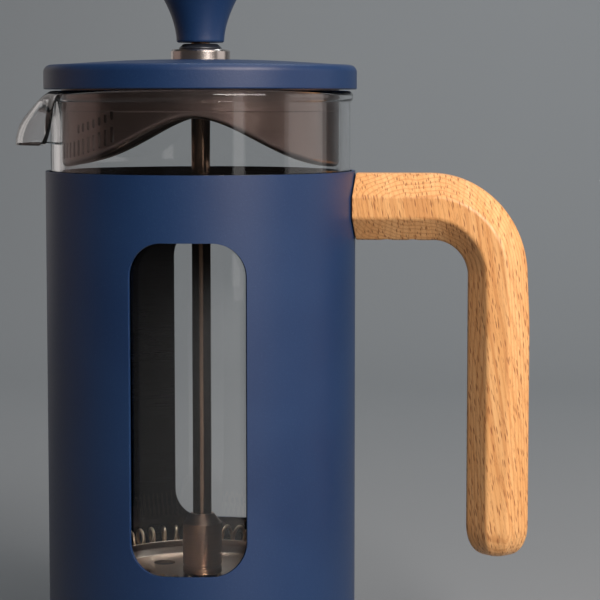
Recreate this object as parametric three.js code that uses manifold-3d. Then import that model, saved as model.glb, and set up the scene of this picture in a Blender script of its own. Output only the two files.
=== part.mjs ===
// A small coffee press: a glass beaker in a painted steel sleeve with a wooden handle, a lid with a
// strainer skirt, and a plunger with a spring-edged filter.
// Millimetres, +Z up. The origin is on the sleeve's axis at the underside of the foot pad.
// The handle points along +X, the pouring lip along -X, and the windows face -Y and +Y.
import * as THREE from "three";
import { mergeVertices } from "three/addons/utils/BufferGeometryUtils.js";
import Module from "manifold-3d";

const wasm = await Module();
wasm.setup();

// Driving dimensions
const gap = 0.3; // left between pieces that touch
const sleeve = { radius: 36, wall: 0.8, bottom: 1.2, top: 115.5, lip: 33.9, fold: 1.2 };
const opening = { middle: 1.3, width: 26.1, bottom: 26.9, top: 100.7, corner: 7.5 };
const foot = { radius: 33.6, height: 2 };
const basePlate = { radius: 34.9, bottom: 2.3, thickness: 0.8 };
const cushion = { inner: 12, outer: 27, bottom: 3.4, thickness: 0.9 };
const glass = { radius: 34.8, wall: 2.3, bottom: 4.6, rim: 134, floor: 2.8, heel: 5, bead: 2.6 };
const spout = { reach: 43.6, drop: 12.6, channel: 2.6, sheet: 1.1, start: 17 };
const spoutSpan = { fold: 32, foldFull: 20, reach: 27, channel: 13 }; // degrees each side of its middle
const lid = { bottom: 134.3, radius: 36.3, side: 3.8, shoulder: 1.8, crown: 6.8 };
const lidHollow = { radius: 32.6, height: 3.2 };
const skirt = { radius: 32.25, wall: 0.65, plate: 136.4, plateThickness: 0.7 };
const skirtEdge = { deep: 17.8, shallow: 6.4, spread: 34.2, power: 1.87, turn: 4.5 }; // turn in degrees
const slot = { pitch: 3.14, span: 57, width: 0.8, edge: 1.6, tall: 3.6, bridge: 1.4, short: 2, shortFrom: 35 };
const ferrule = { radius: 6.9, bore: 4.7, bottom: 140.7, top: 143.5, seat: 7.2 };
const bush = { bore: 2.5, neck: 4.4, bottom: 132.8, cap: 5, seat: 143.8, top: 144.8 };
const lidNut = { across: 12, bottom: 133.2, height: 2.9 };
const rod = { radius: 2.2, bottom: 27.3, top: 154.5 };
const knob = { bottom: 145.1, foot: 5.5, flare: 0.0459, power: 1.815, flareTop: 15.5, edge: 2, dome: 0.6 };
const knobBore = { radius: 3.6, depth: 11 };
const insert = { outer: 3.3, inner: 2.5, bottom: 145.6, height: 9.6 };
const hub = { radius: 4.6, bottom: 20.5, height: 14.2, crown: 2.3, bore: 2.5 };
const plate = { radius: 25.2, bottom: 19.6, thickness: 0.6, rim: 3.6, hole: 2.5 };
const vent = { count: 8, radius: 2.6 };
const coil = { ring: 28.85, height: 22.9, radius: 2.8, wire: 0.45, turns: 56 };
const screen = { radius: 31.6, bottom: 18.9, thickness: 0.4 };
const cross = { radius: 27.5, bottom: 17.8, thickness: 0.8, arms: 6, arm: 4, rim: 3.2, centre: 8.5 };
const stud = { head: 6.2, headHeight: 1.9, bottom: 15.6, shank: 2.2, top: 26.9 };
const bend = { x: 53.3, z: 92.1, armOuter: 23, armInner: 7.5, gripOuter: 23.2, gripInner: 8.9 };
const grip = { end: 25.9, dome: 7.5, halfWidth: 7, flat: 2.7, edgeFlat: 2.4, soften: 0.9 };
const bracket = { padWide: 8.6, padTall: 6, pad: 37.6, tongueEnd: 54, tongueWide: 7, tongueThick: 3 };
const seal = { inner: 36.3, outer: 36.9, scale: 0.86, pocket: 37.2, pocketScale: 0.92 };
const woodScrew = { first: 43.5, second: 49.5, head: 2, headHeight: 1.5 };
const woodShank = { radius: 1.2, low: -7, high: 5 }; // heights from the arm's middle

const finishes = {
  paint: { color: 0x1f2b52, roughness: 0.5, metalness: 0.15 },
  steel: { color: 0xb9b6b1, roughness: 0.25, metalness: 1 },
  wood: { color: 0xd9a066, roughness: 0.6, metalness: 0 },
  glass: { color: 0xdfe8ea, roughness: 0.05, metalness: 0 },
  rubber: { color: 0x1b1b1c, roughness: 0.85, metalness: 0 },
  plastic: { color: 0x202226, roughness: 0.45, metalness: 0 },
  brass: { color: 0xb8943f, roughness: 0.35, metalness: 1 },
};

// Geometry helpers

const radians = THREE.MathUtils.degToRad;

// Keeps only positions, joins shared corners and drops triangles that have no area.
function tidyGeometry(geometry) {
  const bare = geometry.clone();
  bare.deleteAttribute("normal");
  bare.deleteAttribute("uv");
  const merged = mergeVertices(bare, 1e-4);
  const corners = merged.index.array;
  const kept = [];
  for (let i = 0; i < corners.length; i += 3) {
    const [a, b, c] = corners.slice(i, i + 3);
    if (a !== b && b !== c && c !== a) kept.push(a, b, c);
  }
  merged.setIndex(kept);
  return merged;
}

function toSolid(geometry) {
  const tidy = tidyGeometry(geometry);
  return new wasm.Manifold(
    new wasm.Mesh({
      numProp: 3,
      vertProperties: new Float32Array(tidy.attributes.position.array),
      triVerts: new Uint32Array(tidy.index.array),
    }),
  );
}

function toGeometry(solid) {
  const mesh = solid.getMesh();
  const geometry = new THREE.BufferGeometry();
  geometry.setAttribute("position", new THREE.Float32BufferAttribute(mesh.vertProperties, 3));
  geometry.setIndex(Array.from(mesh.triVerts));
  geometry.computeVertexNormals();
  return geometry;
}

// Takes the tools away from a body.
function cut(body, tools) {
  return toGeometry(tools.reduce((left, tool) => left.subtract(toSolid(tool)), toSolid(body)));
}

// Turns a profile of [radius, height] points about Z; it runs out, up and back, anticlockwise.
function turned(profile, segments) {
  const points = profile.map(([r, z]) => new THREE.Vector2(r, z));
  return new THREE.LatheGeometry(points, segments).rotateX(Math.PI / 2);
}

function ring(inner, outer, bottom, top, segments) {
  return turned([[inner, bottom], [outer, bottom], [outer, top], [inner, top], [inner, bottom]], segments);
}

function disc(radius, bottom, top, segments) {
  return turned([[0, bottom], [radius, bottom], [radius, top], [0, top]], segments);
}

function block(xLow, xHigh, yWidth, zLow, zHigh) {
  const box = new THREE.BoxGeometry(xHigh - xLow, yWidth, zHigh - zLow);
  return box.translate((xLow + xHigh) / 2, 0, (zLow + zHigh) / 2);
}

// Points on an arc, in degrees, both ends included.
function arc(centreR, centreZ, radius, from, to, steps) {
  return Array.from({ length: steps + 1 }, (unused, i) => {
    const angle = radians(from + ((to - from) * i) / steps);
    return [centreR + radius * Math.cos(angle), centreZ + radius * Math.sin(angle)];
  });
}

// Joins a row of equal closed loops into a skin: loop to loop, and either round to the first loop
// again or closed by a fan at each end.
function skinned(loops, endless) {
  const size = loops[0].length;
  const positions = loops.flat().flatMap((p) => [p.x, p.y, p.z]);
  const faces = [];
  const last = endless ? loops.length : loops.length - 1;
  for (let i = 0; i < last; i += 1) {
    const here = i * size;
    const next = ((i + 1) % loops.length) * size;
    for (let j = 0; j < size; j += 1) {
      const k = (j + 1) % size;
      faces.push(here + j, next + j, next + k, here + j, next + k, here + k);
    }
  }
  if (!endless) {
    const end = (loops.length - 1) * size;
    for (let j = 1; j < size - 1; j += 1) {
      faces.push(0, j, j + 1);
      faces.push(end, end + j + 1, end + j);
    }
  }
  const geometry = new THREE.BufferGeometry();
  geometry.setAttribute("position", new THREE.Float32BufferAttribute(positions, 3));
  geometry.setIndex(faces);
  return facingOut(tidyGeometry(geometry));
}

// Turns the faces round when the skin encloses a negative volume.
function facingOut(geometry) {
  const p = geometry.attributes.position;
  const faces = geometry.index.array;
  const corner = [new THREE.Vector3(), new THREE.Vector3(), new THREE.Vector3()];
  let volume = 0;
  for (let i = 0; i < faces.length; i += 3) {
    corner.forEach((v, k) => v.fromBufferAttribute(p, faces[i + k]));
    volume += corner[0].dot(corner[1].clone().cross(corner[2]));
  }
  if (volume < 0) geometry.setIndex(Array.from(faces).reverse());
  geometry.computeVertexNormals();
  return geometry;
}

function smooth(t) {
  const x = THREE.MathUtils.clamp(t, 0, 1);
  return x * x * (3 - 2 * x);
}

function mix(a, b, t) {
  return a + (b - a) * t;
}

function piece(name, geometry, finish) {
  const mesh = new THREE.Mesh(geometry, new THREE.MeshStandardMaterial(finishes[finish]));
  mesh.name = name;
  return mesh;
}

// Housing

// The outline of a window: a tall rectangle with round corners, seen from the front.
function windowOutline() {
  const half = opening.width / 2;
  const inset = half - opening.corner;
  const top = opening.top - opening.corner;
  const bottom = opening.bottom + opening.corner;
  const outline = new THREE.Shape();
  outline.absarc(inset, top, opening.corner, 0, radians(90));
  outline.absarc(-inset, top, opening.corner, radians(90), radians(180));
  outline.absarc(-inset, bottom, opening.corner, radians(180), radians(270));
  outline.absarc(inset, bottom, opening.corner, radians(270), radians(360));
  return outline;
}

function sleeveBody() {
  const { radius, wall, bottom, top, lip, fold } = sleeve;
  const inner = radius - wall;
  const shell = turned(
    [
      [lip, bottom],
      ...arc(radius - fold, bottom + fold, fold, -90, 0, 2),
      [radius, top],
      [inner, top],
      [inner, bottom + wall],
      [lip, bottom + wall],
      [lip, bottom],
    ],
    60,
  );
  const window = new THREE.ExtrudeGeometry(windowOutline(), {
    depth: 2.5 * radius,
    bevelEnabled: false,
    curveSegments: 5,
  });
  window.rotateX(Math.PI / 2).translate(opening.middle, 1.25 * radius, 0);
  return piece("housing_sleeve", cut(shell, [window]), "paint");
}

function basePlateBody() {
  const { radius, bottom, thickness } = basePlate;
  return piece("base_plate", disc(radius, bottom, bottom + thickness, 48), "steel");
}

function footPad() {
  return piece("base_pad", disc(foot.radius, 0, foot.height, 48), "rubber");
}

function beakerCushion() {
  const { inner, outer, bottom, thickness } = cushion;
  return piece("beaker_cushion", ring(inner, outer, bottom, bottom + thickness, 40), "rubber");
}

// Handle

// The handle's section, in its own plane: u runs across the bend, v along Y. An octagon with each
// corner cut once more.
function handleSection(halfThickness) {
  const { halfWidth, flat, edgeFlat, soften } = grip;
  const corners = [];
  for (const [su, sv, turn] of [[1, 1, 1], [-1, 1, -1], [-1, -1, 1], [1, -1, -1]]) {
    const side = new THREE.Vector2(su * flat, sv * halfWidth);
    const edge = new THREE.Vector2(su * halfThickness, sv * edgeFlat);
    corners.push(...(turn > 0 ? [edge, side] : [side, edge]));
  }
  return corners.flatMap((point, i) => {
    const before = corners[(i + corners.length - 1) % corners.length];
    const after = corners[(i + 1) % corners.length];
    return [before, after].map((other) =>
      point.clone().add(other.clone().sub(point).setLength(soften)),
    );
  });
}

// One loop of the handle round a centre, with u along the given direction in the XZ plane.
function handleLoop(x, z, angle, halfThickness, scale = 1) {
  const across = new THREE.Vector3(Math.cos(angle), 0, Math.sin(angle));
  return handleSection(halfThickness).map((p) =>
    new THREE.Vector3(x, 0, z)
      .addScaledVector(across, p.x * scale)
      .add(new THREE.Vector3(0, p.y * scale, 0)),
  );
}

const armHalf = (bend.armOuter - bend.armInner) / 2;
const armHeight = bend.z + (bend.armOuter + bend.armInner) / 2;
const gripHalf = (bend.gripOuter - bend.gripInner) / 2;
const gripX = bend.x + (bend.gripOuter + bend.gripInner) / 2;

function handleBlank() {
  const bendSteps = 8;
  const domeSteps = 4;
  const loops = [handleLoop(sleeve.radius - 4, armHeight, Math.PI / 2, armHalf)];
  for (let i = 0; i <= bendSteps; i += 1) {
    const t = i / bendSteps;
    const angle = (1 - t) * (Math.PI / 2);
    const outer = mix(bend.armOuter, bend.gripOuter, t);
    const inner = mix(bend.armInner, bend.gripInner, t);
    const middle = (outer + inner) / 2;
    const x = bend.x + middle * Math.cos(angle);
    const z = bend.z + middle * Math.sin(angle);
    loops.push(handleLoop(x, z, angle, (outer - inner) / 2));
  }
  for (let i = 0; i <= domeSteps; i += 1) {
    const angle = (i / domeSteps) * radians(84);
    const z = grip.end + grip.dome * (1 - Math.sin(angle) / Math.sin(radians(84)));
    loops.push(handleLoop(gripX, z, 0, gripHalf, Math.cos(angle) ** 0.6));
  }
  return skinned(loops, false);
}

const screwPlaces = [woodScrew.first, woodScrew.second];

function handleBody() {
  const padRoom = block(
    sleeve.radius - 2,
    bracket.pad + gap,
    bracket.padWide + 2 * gap,
    armHeight - bracket.padTall / 2 - gap,
    armHeight + bracket.padTall / 2 + gap,
  );
  const slotRoom = block(
    sleeve.radius - 2,
    bracket.tongueEnd + gap,
    bracket.tongueWide + 2 * gap,
    armHeight - bracket.tongueThick / 2 - gap,
    armHeight + bracket.tongueThick / 2 + gap,
  );
  const headSeat = woodShank.low + woodScrew.headHeight + gap;
  const under = armHeight - armHalf;
  const screwRoom = screwPlaces.flatMap((x) => [
    disc(woodScrew.head + gap, under - 1, armHeight + headSeat, 16).translate(x, 0, 0),
    disc(woodShank.radius + gap, under, armHeight + woodShank.high + gap, 12).translate(x, 0, 0),
  ]);
  const sleeveRoom = disc(sleeve.radius + gap, armHeight - 20, armHeight + 20, 144);
  const sealRoom = toSolid(armStub(seal.pocketScale)).intersect(
    toSolid(disc(seal.pocket, armHeight - 20, armHeight + 20, 144)),
  );
  const rooms = [sleeveRoom, toGeometry(sealRoom), padRoom, slotRoom, ...screwRoom];
  return piece("handle", cut(handleBlank(), rooms), "wood");
}

// A short length of the arm's outline, through the sleeve's wall.
function armStub(scale) {
  const ends = [sleeve.radius - 6, sleeve.radius + 5];
  return skinned(ends.map((x) => handleLoop(x, armHeight, Math.PI / 2, armHalf, scale)), false);
}

// The thin seal follows the sleeve, in a pocket in the arm's root, and is open for the bracket's pad.
function handleSeal() {
  const root = armStub(seal.scale);
  const band = ring(seal.inner, seal.outer, armHeight - 20, armHeight + 20, 144);
  const padRoom = block(
    sleeve.radius - 8,
    sleeve.radius + 8,
    bracket.padWide + 2 * gap,
    armHeight - bracket.padTall / 2 - gap,
    armHeight + bracket.padTall / 2 + gap,
  );
  const solid = toSolid(root).intersect(toSolid(band)).subtract(toSolid(padRoom));
  return piece("handle_gasket", toGeometry(solid), "rubber");
}

// A curved pad on the sleeve with a tongue that enters the wood.
function handleBracket() {
  const low = armHeight - bracket.padTall / 2;
  const padBlock = block(sleeve.radius - 6, sleeve.radius + 6, bracket.padWide, low, low + bracket.padTall);
  const band = ring(seal.inner, bracket.pad, armHeight - 20, armHeight + 20, 144);
  const tongue = block(
    sleeve.radius + 1,
    bracket.tongueEnd,
    bracket.tongueWide,
    armHeight - bracket.tongueThick / 2,
    armHeight + bracket.tongueThick / 2,
  );
  let solid = toSolid(padBlock).intersect(toSolid(band)).add(toSolid(tongue));
  for (const x of screwPlaces) {
    const hole = disc(woodShank.radius + gap, armHeight - 5, armHeight + 5, 16).translate(x, 0, 0);
    solid = solid.subtract(toSolid(hole));
  }
  return piece("handle_bracket", toGeometry(solid), "steel");
}

// A pan-head screw, pointing up, with a hexagon socket in its head.
function handleScrew(name, x) {
  const { head, headHeight } = woodScrew;
  const { radius: shank, low: headBottom, high: top } = woodShank;
  const body = turned(
    [
      [0, headBottom],
      [head - 0.4, headBottom],
      [head, headBottom + 0.4],
      [head, headBottom + headHeight],
      [shank, headBottom + headHeight],
      [shank, top - 1.5],
      [0.4, top],
      [0, top],
    ],
    16,
  );
  const socket = disc(1.1, headBottom - 1, headBottom + 0.9, 6);
  const mesh = piece(name, cut(body, [socket]), "steel");
  mesh.position.set(x, 0, armHeight);
  return mesh;
}

// Beaker

// How far the rim is folded over (fold) and pushed out (reach) at an angle from the lip's middle.
function spoutWeights(degrees) {
  const away = Math.abs(degrees);
  return {
    fold: 1 - smooth((away - spoutSpan.foldFull) / (spoutSpan.fold - spoutSpan.foldFull)),
    reach: 1 - smooth(away / spoutSpan.reach),
    channel: 1 - smooth(away / spoutSpan.channel),
  };
}

// One half-section of the beaker at an angle from the lip's middle, as [radius, height] points from
// the axis under the floor, up the outside, round the rim and down the inside to the axis again.
function beakerSection(degrees) {
  const { radius, wall, bottom, rim, floor, heel, bead } = glass;
  const { fold, reach, channel } = spoutWeights(degrees);
  const inner = radius - wall;
  const edge = mix(radius + 0.7, spout.reach, reach) + 1.4 * fold * (1 - reach);
  const drop = mix(1.2, spout.drop, fold);
  const dip = channel * spout.channel;
  const over = (t) => {
    const turn = Math.cos(t * Math.PI * 0.5);
    const r = mix(radius - 0.6, edge, Math.sin(t * Math.PI * 0.5) ** 1.1);
    return [r, rim - dip * turn ** 2 - drop * (1 - turn) ** 0.9];
  };
  // The underside: a round bead on the plain rim, and a sheet of even thickness under the lip.
  const under = (t) => {
    const onLip = offsetInward(over, mix(0.35, 1, t), spout.sheet);
    const onBead = [mix(radius, edge - 0.3, t), rim - mix(bead, drop + 0.4, t)];
    return [Math.max(mix(onBead[0], onLip[0], fold), radius + 0.02), mix(onBead[1], onLip[1], fold)];
  };
  const topSide = [1, 0.84, 0.66, 0.48, 0.3, 0.14].map(over);
  const underSide = [0, 0.25, 0.5, 0.75, 1].map(under);
  return [
    [0, bottom],
    ...arc(radius - heel, bottom + heel, heel, -90, 0, 3),
    [radius, rim - spout.start],
    [radius, underSide[0][1] - 0.8],
    ...underSide,
    ...topSide,
    [radius - wall * 0.5, rim - dip],
    [inner + 0.3, rim - dip - 0.35],
    [inner, rim - dip - 1.1],
    [inner, rim - spout.start],
    ...arc(inner - 3, bottom + floor + 3, 3, 0, -90, 2),
    [0, bottom + floor],
  ];
}

// The point at t on a curve of [radius, height] points, moved by a distance towards its hollow side.
function offsetInward(curve, t, distance) {
  const step = 0.01;
  const [r, z] = curve(t);
  const [before, after] = [curve(t - step), curve(Math.min(t + step, 1))];
  const along = new THREE.Vector2(after[0] - before[0], after[1] - before[1]).normalize();
  return [r + along.y * distance, z - along.x * distance];
}

function beaker() {
  const plainSteps = 30;
  const angles = [];
  for (let a = -32; a <= 32; a += 4) angles.push(a);
  for (let i = 1; i < plainSteps; i += 1) angles.push(32 + (i * 296) / plainSteps);
  const loops = angles.map((a) => {
    const angle = radians(180 + a);
    const shown = a > 180 ? a - 360 : a;
    return beakerSection(shown).map(([r, z]) =>
      new THREE.Vector3(r * Math.cos(angle), r * Math.sin(angle), z),
    );
  });
  return piece("glass_beaker", skinned(loops, true), "glass");
}

// Lid

function lidCover() {
  const { bottom, radius, side, shoulder, crown } = lid;
  const { radius: recess, height: ceiling } = lidHollow;
  const domeSteps = 2;
  const shoulderTop = side + shoulder;
  const dome = Array.from({ length: domeSteps }, (unused, i) => {
    const t = (i + 1) / domeSteps;
    const r = mix(radius - shoulder, ferrule.seat, t);
    return [r, shoulderTop + (crown - shoulderTop) * Math.sin((t * Math.PI) / 2)];
  });
  const seat = ferrule.bottom - gap - bottom;
  const profile = [
    [recess, 0],
    [radius - 0.3, 0],
    [radius, 0.3],
    ...arc(radius - shoulder, side, shoulder, 0, 90, 3),
    ...dome,
    [ferrule.seat, seat],
    [ferrule.bore, seat],
    [ferrule.bore, ceiling],
    [recess, ceiling],
    [recess, 0],
  ];
  const mesh = piece("lid_cover", turned(profile, 44), "paint");
  mesh.position.z = bottom;
  return mesh;
}

// How far the skirt reaches below the lid at an angle from the middle of its strainer: deep there and
// opposite, shallow halfway between.
function skirtDepth(degrees) {
  const { deep, shallow, spread, power } = skirtEdge;
  const fromCrest = Math.abs(90 - Math.abs(degrees));
  return mix(deep, shallow, Math.exp(-((fromCrest / spread) ** power)));
}

function skirtBlank() {
  const steps = 60;
  const outer = skirt.radius;
  const inner = outer - skirt.wall;
  const hole = bush.neck + gap;
  const top = skirt.plate + skirt.plateThickness;
  const loops = Array.from({ length: steps }, (unused, i) => {
    const degrees = (360 * i) / steps - 180;
    const angle = radians(180 + skirtEdge.turn + degrees);
    const low = lid.bottom - skirtDepth(degrees);
    const wallSide = [[inner, low], [outer, low], [outer, top]];
    const plateSide = [[hole, top], [hole, skirt.plate], [inner, skirt.plate]];
    return [...wallSide, ...plateSide].map(([r, z]) =>
      new THREE.Vector3(r * Math.cos(angle), r * Math.sin(angle), z),
    );
  });
  return skinned(loops, true);
}

function slotTool(degrees, depthTop, depthBottom) {
  const tall = depthBottom - depthTop;
  const box = new THREE.BoxGeometry(4, slot.width, tall);
  box.translate(-skirt.radius, 0, lid.bottom - (depthTop + depthBottom) / 2);
  return box.rotateZ(radians(skirtEdge.turn + degrees));
}

// Slots in columns over the lip side: one tall slot each, and a short one above it towards the ends.
function lidSkirt() {
  const tools = [];
  const most = Math.floor(slot.span / slot.pitch);
  for (let i = -most; i <= most; i += 1) {
    const degrees = i * slot.pitch;
    const low = skirtDepth(degrees) - slot.edge;
    const high = low - slot.tall;
    tools.push(slotTool(degrees, high, low));
    if (Math.abs(degrees) > slot.shortFrom) {
      tools.push(slotTool(degrees, high - slot.bridge - slot.short, high - slot.bridge));
    }
  }
  return piece("lid_skirt", cut(skirtBlank(), tools), "steel");
}

function lidFerrule() {
  const { radius, bore, bottom, top } = ferrule;
  const tall = top - bottom;
  const profile = [
    [bore, 0],
    [radius, 0],
    [radius, tall - 0.5],
    [radius - 0.5, tall],
    [bore, tall],
    [bore, 0],
  ];
  const mesh = piece("lid_ferrule", turned(profile, 36), "steel");
  mesh.position.z = bottom;
  return mesh;
}

function guideBush() {
  const { bore, neck, bottom, cap, seat, top } = bush;
  const profile = [
    [bore, bottom],
    [neck, bottom],
    [neck, seat],
    [cap, seat],
    [cap - 0.3, seat + 0.45],
    [cap - 1.2, top],
    [bore, top],
    [bore, bottom],
  ];
  return piece("guide_bush", turned(profile, 24), "plastic");
}

function lidRetainingNut() {
  const { across, bottom, height } = lidNut;
  const corner = across / 2 / Math.cos(Math.PI / 6);
  const body = disc(corner, 0, height, 6);
  const mesh = piece("lid_retaining_nut", cut(body, [disc(bush.neck + gap, -1, height + 1, 24)]), "steel");
  mesh.position.z = bottom;
  return mesh;
}

// Plunger

function plungerRod() {
  const { radius, bottom, top } = rod;
  const profile = [
    [0, bottom],
    [radius - 0.3, bottom],
    [radius, bottom + 0.3],
    [radius, top - 0.3],
    [radius - 0.3, top],
    [0, top],
  ];
  return piece("plunger_rod", turned(profile, 20), "steel");
}

// The knob flares upwards by a power curve and ends in a round edge and a low dome.
function knobBody() {
  const { bottom, foot: footRadius, flare, power, flareTop, edge, dome } = knob;
  const radiusAt = (h) => footRadius + flare * h ** power;
  const slope = Math.atan(flare * power * flareTop ** (power - 1));
  const flank = [2, 5, 8, 10.5, 13, flareTop].map((h) => [radiusAt(h), h]);
  const centreR = radiusAt(flareTop) - edge * Math.cos(slope);
  const centreZ = flareTop + edge * Math.sin(slope);
  const rim = arc(centreR, centreZ, edge, -THREE.MathUtils.radToDeg(slope), 86, 4).slice(1);
  const crownTop = centreZ + edge + dome;
  const profile = [
    [knobBore.radius, 0],
    [footRadius - 0.5, 0],
    [footRadius, 0.5],
    ...flank,
    ...rim,
    [centreR / 2, crownTop - dome / 4],
    [0, crownTop],
  ];
  const bored = [[0, knobBore.depth], [knobBore.radius, knobBore.depth], ...profile];
  const mesh = piece("knob", turned(bored, 28), "paint");
  mesh.position.z = bottom;
  return mesh;
}

function knobInsert() {
  const mesh = piece("knob_insert", ring(insert.inner, insert.outer, 0, insert.height, 20), "brass");
  mesh.position.z = insert.bottom;
  return mesh;
}

function filterHub() {
  const { radius, height, crown, bore } = hub;
  const profile = [
    [bore, 0],
    [radius - 0.3, 0],
    [radius, 0.3],
    [radius, height - crown],
    [radius - 0.5, height - 0.75 * crown],
    [bore + 0.4, height],
    [bore, height],
    [bore, 0],
  ];
  const mesh = piece("filter_hub", turned(profile, 24), "steel");
  mesh.position.z = hub.bottom;
  return mesh;
}

// A dished plate with an upturned rim and a circle of round vents.
function springPlate() {
  const { radius, thickness, rim, hole } = plate;
  const profile = [
    [hole, 0],
    [radius - 1.6, 0],
    [radius, 1.6],
    [radius, rim],
    [radius - thickness, rim],
    [radius - thickness, 1.9],
    [radius - 1.9, thickness],
    [hole, thickness],
    [hole, 0],
  ];
  const tools = Array.from({ length: vent.count }, (unused, i) =>
    disc(vent.radius, -1, 1.5, 8)
      .translate(0.6 * radius, 0, 0)
      .rotateZ((2 * Math.PI * i) / vent.count),
  );
  const mesh = piece("spring_plate", cut(turned(profile, 36), tools), "steel");
  mesh.position.z = plate.bottom;
  return mesh;
}

// A wire wound into a coil, and the coil's ends joined into a ring.
function coilSpring() {
  const stepsPerTurn = 6;
  const sides = 4;
  const count = coil.turns * stepsPerTurn;
  const centre = (i) => {
    const round = (2 * Math.PI * i) / count;
    const twist = round * coil.turns;
    const r = coil.ring + coil.radius * Math.cos(twist);
    return new THREE.Vector3(r * Math.cos(round), r * Math.sin(round), coil.radius * Math.sin(twist));
  };
  const loops = Array.from({ length: count }, (unused, i) => {
    const round = (2 * Math.PI * i) / count;
    const here = centre(i);
    const along = centre(i + 1).sub(centre(i - 1)).normalize();
    const spine = new THREE.Vector3(coil.ring * Math.cos(round), coil.ring * Math.sin(round), 0);
    const out = here.clone().sub(spine);
    out.addScaledVector(along, -out.dot(along)).normalize();
    const side = along.clone().cross(out);
    return Array.from({ length: sides }, (none, j) => {
      const angle = (2 * Math.PI * (j + 0.5)) / sides;
      return here
        .clone()
        .addScaledVector(out, coil.wire * Math.cos(angle))
        .addScaledVector(side, coil.wire * Math.sin(angle));
    });
  });
  const mesh = piece("coil_spring", skinned(loops, true), "steel");
  mesh.position.z = coil.height;
  return mesh;
}

function meshScreen() {
  const { radius, bottom, thickness } = screen;
  const mesh = piece("mesh_screen", ring(plate.hole, radius, 0, thickness, 40), "steel");
  mesh.position.z = bottom;
  return mesh;
}

// A disc with arms left between wide openings.
function crossPlate() {
  const { radius, thickness, arms, arm, rim, centre } = cross;
  const outline = new THREE.Shape();
  outline.absarc(0, 0, radius, 0, 2 * Math.PI);
  const hole = new THREE.Path();
  hole.absarc(0, 0, plate.hole, 0, 2 * Math.PI, true);
  outline.holes.push(hole);
  for (let i = 0; i < arms; i += 1) {
    const from = (2 * Math.PI * i) / arms;
    const to = (2 * Math.PI * (i + 1)) / arms;
    const far = Math.asin(arm / 2 / (radius - rim));
    const near = Math.asin(arm / 2 / centre);
    const gapPath = new THREE.Path();
    gapPath.absarc(0, 0, radius - rim, from + far, to - far);
    gapPath.absarc(0, 0, centre, to - near, from + near, true);
    outline.holes.push(gapPath);
  }
  const body = new THREE.ExtrudeGeometry(outline, {
    depth: thickness,
    bevelEnabled: false,
    curveSegments: 4,
  });
  const mesh = piece("cross_plate", tidyGeometry(body), "steel");
  mesh.position.z = cross.bottom;
  return mesh;
}

// A flanged stud that clamps the filter stack to the hub from below.
function filterStud() {
  const { head, headHeight, bottom, shank, top } = stud;
  const tall = top - bottom;
  const profile = [
    [0, 0],
    [head - 0.6, 0],
    [head, 0.6],
    [head, headHeight],
    [shank, headHeight],
    [shank, tall - 0.4],
    [shank - 0.4, tall],
    [0, tall],
  ];
  const mesh = piece("filter_stud", turned(profile, 20), "steel");
  mesh.position.z = bottom;
  return mesh;
}

// Assembly

function assembly(...parts) {
  return new THREE.Group().add(...parts);
}

const housing = assembly(
  sleeveBody(),
  basePlateBody(),
  footPad(),
  beakerCushion(),
  handleBody(),
  handleSeal(),
  handleBracket(),
  handleScrew("handle_screw_inner", woodScrew.first),
  handleScrew("handle_screw_outer", woodScrew.second),
);

const lidParts = assembly(lidCover(), lidSkirt(), lidFerrule(), guideBush(), lidRetainingNut());

const plunger = assembly(
  plungerRod(),
  knobBody(),
  knobInsert(),
  filterHub(),
  springPlate(),
  coilSpring(),
  meshScreen(),
  crossPlate(),
  filterStud(),
);

export default assembly(housing, beaker(), lidParts, plunger);
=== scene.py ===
import math

import bmesh
import bpy
from mathutils import Matrix, Vector


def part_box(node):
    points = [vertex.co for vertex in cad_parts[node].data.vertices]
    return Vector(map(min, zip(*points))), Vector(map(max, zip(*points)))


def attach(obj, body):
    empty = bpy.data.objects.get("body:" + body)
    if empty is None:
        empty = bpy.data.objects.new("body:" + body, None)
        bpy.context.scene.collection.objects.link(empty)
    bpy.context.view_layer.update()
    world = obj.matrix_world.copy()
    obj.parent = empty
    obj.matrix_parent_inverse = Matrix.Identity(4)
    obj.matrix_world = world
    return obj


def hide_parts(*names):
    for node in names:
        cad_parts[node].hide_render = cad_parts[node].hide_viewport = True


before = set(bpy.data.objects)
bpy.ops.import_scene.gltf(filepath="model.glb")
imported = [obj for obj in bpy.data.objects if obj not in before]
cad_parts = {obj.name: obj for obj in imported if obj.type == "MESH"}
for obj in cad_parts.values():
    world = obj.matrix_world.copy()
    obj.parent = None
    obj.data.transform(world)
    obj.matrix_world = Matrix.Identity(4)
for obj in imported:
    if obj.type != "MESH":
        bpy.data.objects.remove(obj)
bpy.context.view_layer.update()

# Looks for a small coffee press. Lengths in the dictionaries are millimetres, angles are degrees.
mm = 0.001
scene = bpy.context.scene
scene.view_settings.view_transform = "Standard"


# camera and studio

cameraView = {
    "azimuth": 7.5,  # towards the handle's side
    "distance": 519,
    "height": 131.9,
    "pitch": 5.15,  # down
    "turn": 2.55,  # to the right of the axis
    "lens": 133.3,
}


def makeCamera():
    v = cameraView
    around = math.radians(v["azimuth"])
    place = Vector((math.sin(around), -math.cos(around), 0)) * v["distance"] * mm
    place.z = v["height"] * mm
    data = bpy.data.cameras.new("pressCamera")
    data.lens = v["lens"]
    data.clip_start = 0.01
    camera = bpy.data.objects.new("pressCamera", data)
    camera.location = place
    heading = around - math.radians(v["turn"])
    camera.rotation_euler = (math.radians(90 - v["pitch"]), 0, heading)
    scene.collection.objects.link(camera)
    scene.camera = camera


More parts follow.
